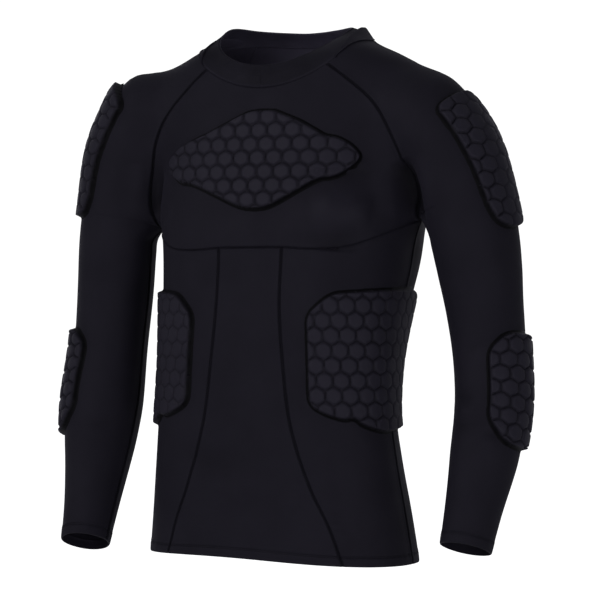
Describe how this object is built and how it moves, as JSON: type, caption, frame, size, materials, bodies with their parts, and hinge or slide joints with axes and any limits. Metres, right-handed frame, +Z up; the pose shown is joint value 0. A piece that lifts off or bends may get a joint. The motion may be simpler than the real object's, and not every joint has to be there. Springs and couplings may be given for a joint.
{
  "type": "padded compression shirt",
  "caption": "Long-sleeved hollow compression shirt with crew collar, raglan sleeves and raised honeycomb pads on chest, ribs, shoulders and elbows.",
  "frame": {"origin": "middle of the neck opening, at the height of the collar's seam", "axes": "+Z up along the wearer, -Y towards the shirt's front, +X towards the wearer's left"},
  "size_m": [0.6849, 0.275, 0.7094],
  "materials": {
    "cloth": "black stretch knit",
    "collar": "black rib-bound knit",
    "pad": "black knit over foam cells"
  },
  "bodies": {
    "root": {"chest_panel": "cloth", "front_centre_panel": "cloth", "front_side_left": "cloth", "front_side_right": "cloth", "back_panel": "cloth", "sleeve_left": "cloth", "sleeve_right": "cloth", "collar_band": "collar", "chest_pad": "pad", "rib_pad_left": "pad", "rib_pad_right": "pad", "shoulder_pad_left": "pad", "shoulder_pad_right": "pad", "elbow_pad_left": "pad", "elbow_pad_right": "pad"}
  },
  "joints": []
}
